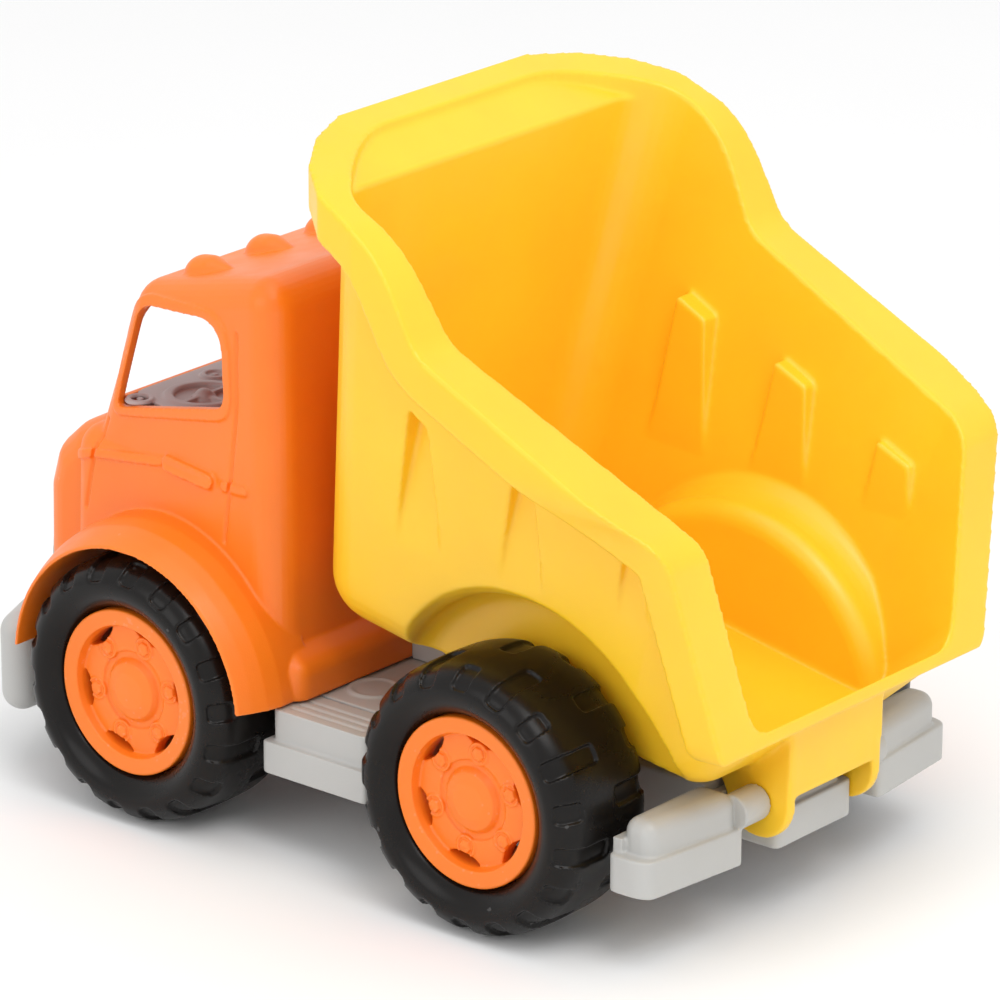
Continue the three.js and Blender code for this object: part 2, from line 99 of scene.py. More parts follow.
def apply_modifiers(body):
    graph = bpy.context.evaluated_depsgraph_get()
    mesh = bpy.data.meshes.new_from_object(body.evaluated_get(graph))
    old = body.data
    body.modifiers.clear()
    body.data = mesh
    bpy.data.meshes.remove(old)
    return body


def boolean(operation, body, others):
    """body joined with, cut by or kept inside each of others, which are used up."""
    for other in others:
        modifier = body.modifiers.new(operation, "BOOLEAN")
        modifier.operation = operation
        modifier.solver = "MANIFOLD"
        modifier.object = other
        apply_modifiers(body)
        discard(other)
    return body


def join(body, *others):
    return boolean("UNION", body, others)


def cut(body, *others):
    return boolean("DIFFERENCE", body, others)


def within(body, *others):
    return boolean("INTERSECT", body, others)


def copy(body):
    twin = body.copy()
    twin.data = body.data.copy()
    bpy.context.scene.collection.objects.link(twin)
    return twin


def flip(body):
    """body mirrored to the truck's other side."""
    body.data.transform(Matrix.Scale(-1, 4, (0, 1, 0)))
    body.data.flip_normals()
    return body


def both_sides(body):
    return join(body, flip(copy(body)))


def turned_by(body, angle, axis="Y"):
    body.data.transform(Matrix.Rotation(angle, 4, axis))
    return body


def rounded(corners, radius, steps=8):
    """A closed outline's points. Each corner is (a, b) or (a, b, its own radius)."""
    points = []
    for i, corner in enumerate(corners):
        here = Vector(corner[:2])
        before = Vector(corners[i - 1][:2]) - here
        after = Vector(corners[(i + 1) % len(corners)][:2]) - here
        own = corner[2] if len(corner) > 2 else radius
        reach = min(own, before.length / 2.01, after.length / 2.01)
        if reach <= 0:
            points.append(here)
            continue
        start = here + before.normalized() * reach
        end = here + after.normalized() * reach
        for k in range(steps + 1):
            t = k / steps
            points.append(start * (1 - t) ** 2 + here * 2 * t * (1 - t) + end * t**2)
    return points


def prism(corners, low, high, place, radius=0.0):
    """An outline extruded from low to high. place(a, b, height) gives each point in space."""
    outline = rounded(corners, radius)
    bm = bmesh.new()
    bottom = [bm.verts.new(place(p.x, p.y, low)) for p in outline]
    top = [bm.verts.new(place(p.x, p.y, high)) for p in outline]
    bm.faces.new(bottom)
    bm.faces.new(top)
    for i in range(len(outline)):
        bm.faces.new((bottom[i - 1], bottom[i], top[i], top[i - 1]))
    bmesh.ops.triangulate(bm, faces=bm.faces)
    return to_object(bm)


def sideways(corners, y_from, y_to, radius=0.0):
    """An outline in X and Z, extruded along Y."""
    return prism(corners, y_from, y_to, lambda a, b, h: (a, h, b), radius)


def lengthways(corners, x_from, x_to, radius=0.0):
    """An outline in Y and Z, extruded along X."""
    return prism(corners, x_from, x_to, lambda a, b, h: (h, a, b), radius)


def upwards(corners, z_from, z_to, radius=0.0):
    """An outline in X and Y, extruded along Z."""
    return prism(corners, z_from, z_to, lambda a, b, h: (a, b, h), radius)


def box(x_from, x_to, y_from, y_to, z_from, z_to):
    corners = [(x_from, y_from), (x_to, y_from), (x_to, y_to), (x_from, y_to)]
    return upwards(corners, z_from, z_to)


def turned(profile, x=0.0, z=0.0, segments=144):
    """A profile of (radius, y) points turned about the Y axis through x, z."""
    bm = bmesh.new()
    rings = []
    for radius, y in profile:
        if radius < 1e-6:
            rings.append([bm.verts.new((x, y, z))])
            continue
        angles = [2 * math.pi * i / segments for i in range(segments)]
        circle = [(x + radius * math.sin(a), y, z + radius * math.cos(a)) for a in angles]
        rings.append([bm.verts.new(point) for point in circle])
    for near, far in zip(rings, rings[1:] + rings[:1]):
        for i in range(segments):
            here = [near[i % len(near)], near[(i + 1) % len(near)]]
            there = [far[(i + 1) % len(far)], far[i % len(far)]]
            face = list(dict.fromkeys(here + there))
            if len(face) > 2:
                bm.faces.new(face)
    return to_object(bm)


def bar_y(x, z, radius, y_from, y_to):
    return turned([(0, y_from), (radius, y_from), (radius, y_to), (0, y_to)], x, z, 96)


def bar_z(x, y, radius, z_from, z_to):
    body = turned([(0, z_from), (radius, z_from), (radius, z_to), (0, z_to)], segments=72)
    body.data.transform(Matrix.Translation((x, y, 0)) @ Matrix.Rotation(math.pi / 2, 4, "X"))
    return body


def skin(balls, step=12):
    """The convex skin stretched over balls given as (x, y, z, radius)."""
    bm = bmesh.new()
    for x, y, z, r in balls:
        for rise in range(-90, 91, step):
            ring = 1 if abs(rise) == 90 else 360 // step
            for k in range(ring):
                up, turn = math.radians(rise), math.radians(k * step)
                flat = r * math.cos(up)
                bm.verts.new((x + flat * math.cos(turn), y + flat * math.sin(turn), z + r * math.sin(up)))
    hull = bmesh.ops.convex_hull(bm, input=bm.verts)
    loose = set(hull["geom_interior"]) | set(hull["geom_unused"])
    bmesh.ops.delete(bm, geom=[v for v in loose if isinstance(v, bmesh.types.BMVert)], context="VERTS")
    return to_object(bm)


def pair_skin(balls, grow=0.0):
    """The same, over balls on both sides of the middle plane, each grown by some amount."""
    grown = [(x, y, z, r + grow) for x, y, z, r in balls]
    return skin(grown + [(x, -y, z, r) for x, y, z, r in grown])


def spline(points, steps=6):
    """A smooth line of points through the given ones."""
    line = []
    vectors = [Vector(p) for p in points]
    for i in range(len(vectors) - 1):
        a, b, c = vectors[max(i - 1, 0)], vectors[i], vectors[i + 1]
        d = vectors[min(i + 2, len(vectors) - 1)]
        for k in range(steps):
            t = k / steps
            square = (2 * a - 5 * b + 4 * c - d) * t**2
            cube = (3 * b - a - 3 * c + d) * t**3
            line.append(0.5 * (2 * b + (c - a) * t + square + cube))
    line.append(vectors[-1])
    return [tuple(p) for p in line]


def soften(body, voxel, smoothing, keep=1.0):
    """Moulded plastic has no sharp edges: the solid is remeshed and its corners eased."""
    remesh = body.modifiers.new("remesh", "REMESH")
    remesh.mode = "VOXEL"
    remesh.voxel_size = voxel
    smooth = body.modifiers.new("smooth", "SMOOTH")
    smooth.factor = 0.5
    smooth.iterations = smoothing
    if keep < 1:
        decimate = body.modifiers.new("decimate", "DECIMATE")
        decimate.ratio = keep
    return apply_modifiers(body)


# ---- Materials -----------------------------------------------------------------------------


class Nodes:
    """A material's node tree, with short ways to add and link nodes."""

    def __init__(self, name):
        self.material = bpy.data.materials.new(name)
        self.material.use_nodes = True
        self.tree = self.material.node_tree
        self.shader = self.tree.nodes["Principled BSDF"]
        self.where = self.tree.nodes.new("ShaderNodeTexCoord").outputs["Object"]

    def add(self, kind, values=(), **settings):
        node = self.tree.nodes.new(kind)
        for key, value in settings.items():
            setattr(node, key, value)
        for key, value in dict(values).items():
            if isinstance(value, bpy.types.NodeSocket):
                self.tree.links.new(value, node.inputs[key])
            else:
                node.inputs[key].default_value = value
        return node

    def noise(self, scale, detail=3.0, roughness=0.55):
        values = {"Vector": self.where, "Scale": scale, "Detail": detail, "Roughness": roughness}
        return self.add("ShaderNodeTexNoise", values).outputs["Fac"]

    def spread(self, factor, low, high, out_low, out_high):
        values = {"Value": factor, "From Min": low, "From Max": high, "To Min": out_low, "To Max": out_high}
        return self.add("ShaderNodeMapRange", values).outputs["Result"]

    def blend(self, factor, first, second):
        node = self.add("ShaderNodeMix", data_type="RGBA")
        sockets = (node.inputs[0], node.inputs[6], node.inputs[7])
        for socket, value in zip(sockets, (factor, first, second)):
            if isinstance(value, bpy.types.NodeSocket):
                self.tree.links.new(value, socket)
            else:
                socket.default_value = value
        return node.outputs[2]

    def bump(self, height, distance, strength, normal=None):
        values = {"Height": height, "Distance": distance, "Strength": strength}
        if normal:
            values["Normal"] = normal
        return self.add("ShaderNodeBump", values).outputs["Normal"]

    def set(self, **sockets):
        for key, value in sockets.items():
            socket = self.shader.inputs[key.replace("_", " ")]
            if isinstance(value, bpy.types.NodeSocket):
                self.tree.links.new(value, socket)
            else:
                socket.default_value = value


def shade(color, factor):
    return tuple(min(1.0, c * factor) for c in color) + (1.0,)


def moulded_plastic(name, color, roughness, grain=0.35, variation=0.06, softness=0.0, shine=0.5):
    """Injection-moulded plastic: faint flow marks, a fine satin grain and a painted highlight that lightens
    its edges.
    """
    n = Nodes(name)
    flow = n.noise(14, 4)
    darker, lighter = shade(color, 1 - variation), shade(color, 1 + variation)
    base = n.blend(n.spread(flow, 0.3, 0.7, 0, 1), darker, lighter)
    # Painted highlight: sharp convex edges, found by pointiness, are mixed towards a paler, lighter colour
    # as if they caught the light.
    edge = n.add("ShaderNodeNewGeometry").outputs["Pointiness"]
    painted_edge_highlight = n.spread(edge, 0.53, 0.6, 0, 0.35)
    base = n.blend(painted_edge_highlight, base, shade([0.15 + 0.85 * c for c in color], 1.0))
    speckle = n.noise(1900, 2)
    waves = n.noise(22, 2)
    fine = n.bump(speckle, 0.0001, grain)
    n.set(
        Base_Color=base,
        Roughness=n.spread(n.noise(60, 5), 0.3, 0.7, roughness - 0.05, roughness + 0.06),
        Normal=n.bump(waves, 0.0006, 0.25, fine),
        Specular_IOR_Level=shine,
    )
    if softness:
        n.set(Subsurface_Weight=softness, Subsurface_Scale=0.004)
        n.shader.inputs["Subsurface Radius"].default_value = (1.0, 0.5, 0.15)
    return n.material


def drawn_steel(name):
    """Bright steel with a fine grain and a little tarnish."""
    n = Nodes(name)
    grain = n.noise(900, 2)
    tarnish = n.noise(90, 4)
    n.set(
        Base_Color=n.blend(tarnish, (0.32, 0.32, 0.34, 1), (0.62, 0.62, 0.64, 1)),
        Metallic=1.0,
        Roughness=n.spread(tarnish, 0.3, 0.7, 0.25, 0.42),
        Normal=n.bump(grain, 0.0001, 0.3),
    )
    return n.material


def paper_floor(name):
    n = Nodes(name)
    n.set(
        Base_Color=n.blend(n.noise(3, 2), (0.9, 0.9, 0.9, 1), (0.94, 0.94, 0.94, 1)),
        Roughness=0.9,
        Normal=n.bump(n.noise(400, 2), 0.0002, 0.1),
    )
    return n.material


ORANGE = moulded_plastic("orange_plastic", (0.92, 0.2, 0.01), 0.38, softness=0.12)
YELLOW = moulded_plastic("yellow_plastic", (1.0, 0.58, 0.02), 0.36, softness=0.12)
GREY = moulded_plastic("grey_plastic", (0.47, 0.47, 0.455), 0.42, variation=0.04)
DASH = moulded_plastic("dash_plastic", (0.42, 0.33, 0.32), 0.4, variation=0.05)
BLACK = moulded_plastic(
    "tyre_plastic", (0.006, 0.005, 0.0045), 0.28, grain=0.12, variation=0.15, shine=0.22
)
STEEL = drawn_steel("drawn_steel")

TO_FRAME = Matrix.Translation((REAR_AXLE_X / 1000, 0, 0)) @ Matrix.Scale(0.001, 4)


def dress(body, name, material, rides_on, replaces, place=None):
    """Names a finished solid, moves it into the CAD frame and ties it to its body."""
    body.name = name
    body.data.name = name
    body.data.transform(TO_FRAME @ (place or Matrix.Identity(4)))
    body.data.polygons.foreach_set("use_smooth", [True] * len(body.data.polygons))
    body.data.materials.clear()
    body.data.materials.append(material)
    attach(body, rides_on)
    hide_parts(replaces)
    return body


# ---- Dump bed ------------------------------------------------------------------------------

TUB = [
    (69, 44.6, 96, 16),
    (-40, 44.3, 74, 14),
    (-57, 41.5, 69, 12),
    (-112, 45.2, 112.4, 8),
    (39, 67.5, 262, 18),
    (-112, 77.5, 262, 8),
]
RIM = [
    (-87, 74),
    (-78.5, 143, 5),
    (-72.5, 148.8, 5),
    (12, 189.5, 5),
    (17, 193.5, 4),
    (23, 205, 4),
    (28, 214, 4),
    (34, 221.5, 4),
    (42, 227.6, 4),
    (60, 236.2, 6),
    (78, 242.4, 4),
    (88, 245.4),
]
SKIRT = 14
RIM_FROM_BEHIND = [(68, 71.5, 8), (86.5, 147, 8), (92.8, 157, 8), (93, 190), (93, 280)]
CANOPY_OUTER = [(-120, 110), (40, 110), (42, 93), (58, 90.5), (71, 80), (82, 64), (88, 47)]
CANOPY_INNER = [(20, 79.2), (50, 79.2), (60, 72.5), (71, 57), (77.5, 42)]
HEADBOARD_TOP = (58.5, 228.5)
CANOPY_SLOPE = 0.58
PADS = [
    (26, 38, 52, 106, 162, 168),
    (-16, -3, 8, 108, 148, 154),
    (-58.5, -45, -37, 98, 130, 136),
]
PAD_Y = 63.8
HUMP_FLARE = [(0, 9), (0.6, 12), (2, 15.5), (4.6, 19)]


def both_hands(half):
    return list(half) + [(-c[0],) + tuple(c[1:]) for c in reversed(half)]


def plan_both_hands(half):
    return list(half) + [(a, -b) for a, b in reversed(half)]


# An offset moves a corner by at most 1 / SHARPEST_CORNER times its distance
SHARPEST_CORNER = 0.5


def rim_below(distance):
    """The rim's side outline moved down and forwards, square to itself."""
    moved = []
    for i, corner in enumerate(RIM):
        here = Vector(corner[:2])
        before, after = Vector(RIM[max(i - 1, 0)][:2]), Vector(RIM[min(i + 1, len(RIM) - 1)][:2])
        inward, outward = (here - before).normalized(), (after - here).normalized()
        along = (inward + outward).normalized()
        reach = distance / max(along.dot(outward if outward.length else inward), SHARPEST_CORNER)
        moved.append((here.x + along.y * reach, here.y - along.x * reach) + tuple(corner[2:]))
    return moved


def rim_band(start, end):
    return rim_below(start) + rim_below(end)[::-1]


def pad_outline(pad, inset):
    rear, front_top, front_foot, foot, rear_top, front_top_z = pad
    return [
        (rear + inset, foot + inset),
        (rear + inset, rear_top - inset),
        (front_top - inset, front_top_z - inset),
        (front_foot - inset, foot + inset),
    ]


def rim_flange(tub):
    def edge(grow):
        half = [(c[0] - grow, c[1] + (grow if c[1] < 80 else 0)) + tuple(c[2:]) for c in RIM_FROM_BEHIND]
        return lengthways(both_hands(half), -130, 130)

    def plan(grow):
        half = [(x - grow, y - grow) for x, y in CANOPY_OUTER]
        return upwards(plan_both_hands(half), 40, 320)

    full = within(sideways(rim_band(0, SKIRT), -BEYOND, BEYOND), edge(0), plan(0))
    hollow = within(sideways(rim_band(WALL, 45), -BEYOND, BEYOND), edge(WALL), plan(WALL))
    return cut(full, cut(hollow, tub))


def canopy():
    side = [(56, 221), (62, 224), (76, 232.5), (88.5, 233.5), (88.5, 250), (56, 250)]
    under_rim = sideways(RIM + [(140, 262), (140, 100), (-80, 60)], -BEYOND, BEYOND)
    plan = upwards(plan_both_hands(CANOPY_OUTER), 40, 320)
    return within(sideways(side, -BEYOND, BEYOND), under_rim, plan)


def canopy_recess():
    x, z = HEADBOARD_TOP
    side = [(x - 60, z + 0.01), (x, z), (x + 60, z + 60 * CANOPY_SLOPE), (x + 60, 330), (x - 60, 330)]
    return within(sideways(side, -BEYOND, BEYOND), upwards(plan_both_hands(CANOPY_INNER), 200, 320, 14))


def wheel_hump(radius, y_inner, flare):
    """A wheel arch's disc, rounded on its inner edge and flared where it meets the side wall."""
    profile = [(0, y_inner), (radius - 7, y_inner)]
    for k in range(1, 9):
        turn = math.radians(k * 90 / 8)
        profile.append((radius - 7 + 7 * math.sin(turn), y_inner + 7 - 7 * math.cos(turn)))
    profile += [(radius + dr, y_inner + dy) for dr, dy in flare]
    profile.append((0, y_inner + flare[-1][1]))
    return turned(profile, 0, AXLE_HEIGHT)


def hinge_bracket():
    eye = bar_y(PIN["x"], PIN["z"], EAR["radius"], EAR["inner"], EAR["outer"])
    plate = sideways(
        [
            (PIN["x"] - 14, 76),
            (PIN["x"] - EAR["radius"], PIN["z"]),
            (PIN["x"] + EAR["radius"], PIN["z"]),
            (PIN["x"] + 22, 62),
            (PIN["x"] + 22, 66),
        ],
        EAR["inner"],
        EAR["outer"],
    )
    web = sideways(
        [
            (PIN["x"] - 14, 76),
            (PIN["x"] - EAR["radius"], PIN["z"] + 3),
            (PIN["x"] - EAR["radius"] + WALL, PIN["z"] + 3),
            (PIN["x"] - 10, 76),
        ],
        -EAR["inner"] - 1,
        EAR["inner"] + 1,
    )
    return join(both_sides(join(eye, plate)), web)


def dump_bed():
    inner = pair_skin(TUB)
    outer = pair_skin(TUB, WALL)
    above = RIM + [(140, 262), (140, 330), (-170, 330), (-170, 30), (-92, 30)]
    hump = both_sides(wheel_hump(62.6, 44.2, HUMP_FLARE + [(9, 22), (16, 25), (16, 40)]))
    hollow = cut(inner, hump)
    for pad in PADS:
        hollow = cut(hollow, both_sides(sideways(pad_outline(pad, 0), PAD_Y, 110, 1.5)))
    flange = rim_flange(copy(outer))
    body = outer
    for pad in PADS:
        body = cut(body, both_sides(sideways(pad_outline(pad, WALL), PAD_Y + WALL, 110, 1.5)))
    body = join(body, flange, canopy(), hinge_bracket())
    body = cut(body, hollow, canopy_recess(), sideways(above, -130, 130))
    arch = wheel_hump(60, 46.8, HUMP_FLARE + [(4.6, 70)])
    body = cut(body, both_sides(arch))
    return cut(body, bar_y(PIN["x"], PIN["z"], PIN["bore"], -60, 60))


dress(soften(dump_bed(), 0.75, 7, 0.5), "bed", YELLOW, "bed", "dump_bed")

# ---- Cab -----------------------------------------------------------------------------------

GREENHOUSE = [(106, 59, 181, 10), (159, 50, 166.5, 11), (179, 50, 118, 9), (106, 59, 112, 10)]
BODY = [(106, 59, 62, 10), (106, 59, 116, 10), (188, 53, 66, 9), (188, 51, 112, 9)]
NOSE = [
    (206.5, 42, 70, 12),
    (206, 42, 92, 12),
    (203.5, 42, 100.5, 12),
    (197.5, 42, 106, 12),
    (188, 42, 111, 12),
    (178, 42, 114, 12),
    (178, 42, 70, 12),
]
NOSE_BOTTOM = 58.3
SIDE_WINDOW = [(175, 131.5, 3.5), (163, 170, 7), (120.5, 174.5, 13), (119.8, 145, 5)]
WINDSCREEN = [(-54, 131, 8), (54, 131, 8), (52, 167, 10), (-52, 167, 10)]
ROOF_LIGHTS_Y = (-44.2, -14.7, 14.7, 44.2)


def fender():
    profile = [(0, 58), (FENDER_RADIUS, 58), (FENDER_RADIUS, 73), (FENDER_RADIUS - 1.2, 79)]
    profile += [(FENDER_RADIUS - 3.2, 84), (FENDER_RADIUS - 5.6, 89), (0, 89)]
    return both_sides(turned(profile, WHEELBASE, AXLE_HEIGHT))


def lowered(balls, depth):
    return balls + [(x, y, z - depth, r) for x, y, z, r in balls if z < 100]


def apron(inset):
    balls = [(95, 62, 44), (95, 62, 58), (108, 71, 44), (108, 70, 60), (110, 60, 68)]
    return pair_skin([(x, y, z, 7 - inset) for x, y, z in balls])


def roof_light(y):
    """A marker lamp: a round nose that runs out to a point behind."""
    return skin([(148.5, y, 178.4, 7.3), (146, y, 179, 7), (136, y, 182.3, 1.2)], 10)


def cab_skin(grow):
    return join(pair_skin(GREENHOUSE, grow), pair_skin(lowered(BODY, 40), grow))


def window_outline(distance):
    """The side window's outline moved outwards by some distance."""
    wide = []
    for x, z, radius in SIDE_WINDOW:
        across = distance if x > 140 else -distance
        rise = distance if z > 150 else -distance
        wide.append((x + across, z + rise, radius + distance))
    return sideways(wide, -BEYOND, BEYOND)


def window_frame():
    """A ring round the side window, raised from the cab's side."""
    ring = cut(window_outline(3.6), window_outline(0.01))
    return within(ring, cab_skin(1.0))


def side_bead(points, radius):
    """A round-edged bar through the cab's left side, along points given as (x, z)."""
    bead = None
    for (xa, za), (xb, zb) in zip(points, points[1:]):
        ends = [(x, y, z, radius) for x, z in ((xa, za), (xb, zb)) for y in (80, 40)]
        piece = skin(ends, 20)
        bead = join(bead, piece) if bead else piece
    return bead


DOOR_TRIM = [(197, 109.3), (186.6, 113.1), (152.7, 118.6)]
DOOR_HANDLE = [(148, 119.2), (128, 118.2)]
REAR_TRIM = [(120.5, 118.3), (110.5, 119)]
DOOR_FRONT_LINE = [(180.5, 126), (185, 115.3), (189.3, 93.4)]
DOOR_REAR_LINE = [(113.6, 172), (114.2, 146), (117, 125), (120.4, 99)]


def cab_details(body):
    """Trim beads, a door handle, a window surround and the door's shut lines, in low relief."""
    raised = [(DOOR_TRIM, 1.5, 1.1), (DOOR_HANDLE, 2.6, 2.0), (REAR_TRIM, 1.6, 1.1)]
    for points, radius, height in raised:
        body = join(body, both_sides(within(side_bead(points, radius), cab_skin(height))))
    body = join(body, window_frame())
    for points in (DOOR_FRONT_LINE, DOOR_REAR_LINE):
        groove = cut(side_bead(points, 0.8), cab_skin(-0.9))
        body = cut(body, both_sides(groove))
    return body


def cab_shell():
    body = pair_skin(GREENHOUSE)
    over_nose = box(60, 260, -120, 120, NOSE_BOTTOM, 240)
    body = join(body, pair_skin(lowered(BODY, 40)), within(pair_skin(lowered(NOSE, 40)), over_nose))
    body = join(body, fender(), apron(0))
    body = join(body, *[roof_light(y) for y in ROOF_LIGHTS_Y])
    inside = join(
        pair_skin(GREENHOUSE, -CAB_WALL),
        pair_skin(lowered(BODY, 60), -CAB_WALL),
        pair_skin(lowered(NOSE, 60), -CAB_WALL),
        apron(CAB_WALL),
    )
    inside = cut(inside, bar_y(WHEELBASE, AXLE_HEIGHT, ARCH_RADIUS + CAB_WALL, -BEYOND, BEYOND))
    body = cut(cab_details(body), inside, box(0, 280, -120, 120, -60, CAB_BOTTOM))
    body = cut(body, bar_y(WHEELBASE, AXLE_HEIGHT, ARCH_RADIUS, -BEYOND, BEYOND))
    return cut(body, sideways(SIDE_WINDOW, -BEYOND, BEYOND), lengthways(WINDSCREEN, 148, 215))


dress(soften(cab_shell(), 0.5, 4, 0.5), "cab", ORANGE, "chassis", "cab_shell")


def grille():
    nose = lowered(NOSE, 40)
    plate = cut(pair_skin(nose, 2.5), pair_skin(nose, 0.3))
    face = lengthways([(-46, 60.5, 4), (46, 60.5, 4), (44, 78, 6), (-44, 78, 6)], 212, 260)
    plate = within(plate, face)
    return cut(plate, *[box(212, 260, -33, 33, z - 1.3, z + 1.3) for z in (65, 69.5, 74)])


dress(soften(grille(), 0.4, 3, 0.6), "front_grille", GREY, "chassis", "grille")


def dashboard():
    plan = [(101, -63), (150, -58), (176, -50), (176, 50), (150, 58), (101, 63)]
    plate = upwards(plan, DECK_Z - 3, DECK_Z, 3)
    plate = join(plate, box(100.6, 103.2, -55, 55, DECK_Z - 12, DECK_Z - 1))
    well = cut(bar_z(156, 38, 10, DECK_Z - 0.9, DECK_Z + 3), bar_z(156, 38, 4.2, DECK_Z - 2, DECK_Z + 4))
    plate = cut(plate, well)
    rim = turned([(9.8, 0), (11, 1.4), (12.6, 1.4), (13.8, 0), (13, -1), (10.6, -1)], segments=96)
    rim.data.transform(Matrix.Translation((156, 38, DECK_Z)) @ Matrix.Rotation(-math.pi / 2, 4, "X"))
    boss = skin([(156, 38, DECK_Z - 1.2, 3.6)], 10)
    spokes = [
        box(155, 157, 28, 48, DECK_Z - 1, DECK_Z + 0.5),
        box(146, 157, 37, 39, DECK_Z - 1, DECK_Z + 0.5),
    ]
    plate = join(plate, rim, boss, *spokes)
    for x, y in ((169, 55), (167, 20.6), (167, 4)):
        ring = turned([(3.4, 0.8), (4.6, 0.8), (5.2, 0), (4.6, -1), (3.2, -1), (2.8, 0)], segments=72)
        ring.data.transform(Matrix.Translation((x, y, DECK_Z)) @ Matrix.Rotation(-math.pi / 2, 4, "X"))
        plate = join(plate, ring, bar_z(x, y, 1.2, DECK_Z - 1, DECK_Z + 0.7))
    slots = [box(120, 165, y - 0.5, y + 0.5, DECK_Z - 0.8, DECK_Z + 1) for y in (-12, -22, -32)]
    return cut(plate, *slots)


dress(soften(dashboard(), 0.4, 2, 0.6), "dash", DASH, "chassis", "dashboard")

# ---- Chassis -------------------------------------------------------------------------------


def front_bumper():
    balls = []
    for z in (26, 47):
        balls += [(210.6, 71.7, z, 7), (220, 50, z, 7), (226, 20, z, 7), (214, 20, z, 7)]
    return cut(pair_skin(balls), box(190, 214.3, -30.3, 30.3, 28.7, 47.3))


def two_tier(plan, balls):
    return join(upwards(plan, 26.7, 39.4, 3), skin(balls))


def rear_bumper():
    left_plan = [(-50, 35), (-70.4, 35), (-66, 77), (-61, 79), (-50, 79)]
    left_balls = []
    middle_balls = []
    for z in (36, 46):
        left_balls += [(-57, 40.4, z, 5), (-63.4, 40.4, z, 5), (-59.6, 70, z, 5), (-57, 70, z, 5)]
        middle_balls += [(x, y, z, 4) for x in (-57, -65) for y in (-13, 13)]
    collar = bar_y(PIN["x"], PIN["z"], 6, EAR["outer"] + 0.3, 37)
    sides = both_sides(join(two_tier(left_plan, left_balls), collar))
    middle_plan = [(-52, -19.8), (-52, 19.8), (-71.3, 19.8), (-71.3, -19.8)]
    back = box(PIN["x"] + EAR["radius"] + 0.3, -50, -76, 76, 27.7, PIN["z"])
    body = join(sides, two_tier(middle_plan, middle_balls), back)
    return cut(body, bar_y(PIN["x"], PIN["z"], PIN["bore"], -35, 35))


def side_step():
    rear, front, inner, outer, top = (STEP[k] for k in ("rear", "front", "inner", "outer", "top"))
    tread_rear, tread_front, tread_outer = rear + 1.5, front - 2.5, outer - 2.5
    base = [(rear, inner), (front, inner), (front, outer), (rear, outer)]
    tread = [
        (tread_rear, inner),
        (tread_front, inner),
        (tread_front, tread_outer),
        (tread_rear, tread_outer),
    ]
    body = join(upwards(base, 27.5, 38.6, 1.5), upwards(tread, 38, top, 2.5))
    body = cut(body, box(rear + 3, front - 5, inner + 3, outer - 5, 20, top - 3))
    grooves = [box(rear + 6, front - 7, y - 0.7, y + 0.7, top - 0.8, 60) for y in (62, 66, 70)]
    return cut(body, *grooves)


def deck_cover():
    plate = box(56, 94.5, -55.3, 55.3, 47.3, 49.6)
    for y in (-40, 40):
        plate = join(plate, cut(bar_z(80, y, 9, 49, 50.4), bar_z(80, y, 7.4, 49.8, 52)))
    return plate


def vent_block():
    block = box(74, 88, -12, 12, 49.9, 61)
    return cut(block, *[box(70, 84, y - 0.9, y + 0.9, 53, 65) for y in (-8, -4, 0, 4, 8)])


def from_cad(node):
    """A solid with a CAD node's shape, in the units used here."""
    body = copy(frame["nodes"][node])
    body.parent = None
    for key in list(body.keys()):
        del body[key]
    body.data.transform(TO_FRAME.inverted())
    return body


GREY_PIECES = [
    (front_bumper, "bumper_front", "front_bumper"),
    (rear_bumper, "bumper_rear", "rear_bumper"),
    (side_step, "step_left", "side_step_left"),
    (lambda: flip(side_step()), "step_right", "side_step_right"),
    (deck_cover, "deck", "deck_cover"),
    (vent_block, "vent", "vent_block"),
    (lambda: from_cad("chassis_frame"), "chassis", "chassis_frame"),
]
for build, name, node in GREY_PIECES:
    dress(soften(build(), 0.5, 5, 0.5), name, GREY, "chassis", node)
dress(soften(from_cad("belly_pan"), 0.5, 4, 0.5), "pan", DASH, "chassis", "belly_pan")
for i in range(1, 5):
    node = f"pan_screw_{i}"
    dress(soften(from_cad(node), 0.15, 2), f"screw_{i}", STEEL, "chassis", node)
dress(soften(from_cad("hinge_pin"), 0.3, 3), "pin", STEEL, "chassis", "hinge_pin")

# ---- Wheels --------------------------------------------------------------------------------

POCKET_COUNT = 18
POCKET_HALF_WIDTH = 3.3
POCKET_DEPTH = 1.3
POCKET_FOOT = 38.8
TYRE_OUTER_Y = 92
TYRE_MIDDLE_Y = 70.25
TYRE_SECTION = [
    (28.8, 85),
    (30, 88),
    (33, 90.8),
    (36.5, 92),
    (40, 91.3),
    (43, 88.8),
    (44.9, 85),
    (45.5, 80),
    (45.7, 71),
    (45.5, 61),
    (44.9, 56),
    (43, 51.8),
    (40, 49.3),
    (36, 48.6),
    (32, 50),
    (28.8, 54),
]


def tyre_ring(shrink):
    """The tyre without its tread pockets, made smaller by some amount all round."""
    middle = Vector((36, 70))
    line = spline(TYRE_SECTION)
    points = []
    for i, point in enumerate(line):
        before, after = Vector(line[max(i - 1, 0)]), Vector(line[min(i + 1, len(line) - 1)])
        along = (after - before).normalized()
        outward = Vector((along.y, -along.x))
        if outward.dot(Vector(point) - middle) < 0:
            outward = -outward
        points.append(tuple(Vector(point) - outward * shrink))
    return turned(points, segments=180)


def pocket(length, side):
    """The space of one tread pocket at the top of the tyre, open to the sidewall on its side."""
    half = POCKET_HALF_WIDTH
    reach = TYRE_OUTER_Y - length
    flat = [(-half, reach), (half, reach), (half, 99), (-half, 99)]
    tall = [(-half, POCKET_FOOT), (half, POCKET_FOOT), (half, 60), (-half, 60)]
    body = within(upwards(flat, 30, 52, 2.2), sideways(tall, 60, 105, 2.2))
    if side < 0:
        flip(body).data.transform(Matrix.Translation((0, 2 * TYRE_MIDDLE_Y, 0)))
    return body


